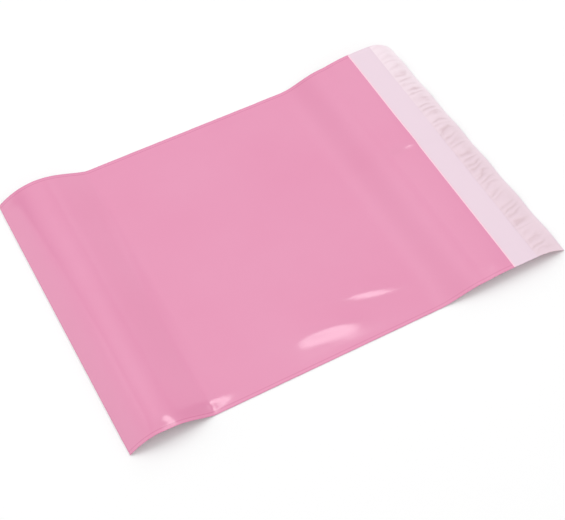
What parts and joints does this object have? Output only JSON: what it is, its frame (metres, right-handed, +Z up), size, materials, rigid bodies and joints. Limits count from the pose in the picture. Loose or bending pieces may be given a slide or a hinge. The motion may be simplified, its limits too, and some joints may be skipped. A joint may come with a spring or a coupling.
{
  "type": "poly mailer bag",
  "caption": "Flat courier bag of folded polyethylene film, with welded sides, an open mouth and a self-seal flap under a release liner, lying as on a table.",
  "frame": {"origin": "middle of the bag's outline, on the table that it lies on", "axes": "+X along the bag from the folded bottom to the flap, +Y across it, +Z up from the table"},
  "size_m": [0.4116, 0.28, 0.0167],
  "materials": {
    "film": "blown polyethylene film, satin gloss, pink outside and pale pink inside",
    "adhesive": "hot-melt pressure-sensitive adhesive, glossy",
    "liner": "silicone-coated release film, satin, slightly see-through"
  },
  "bodies": {
    "root": {"bag_body": "film", "adhesive_strip": "adhesive", "release_liner": "liner"}
  },
  "joints": []
}
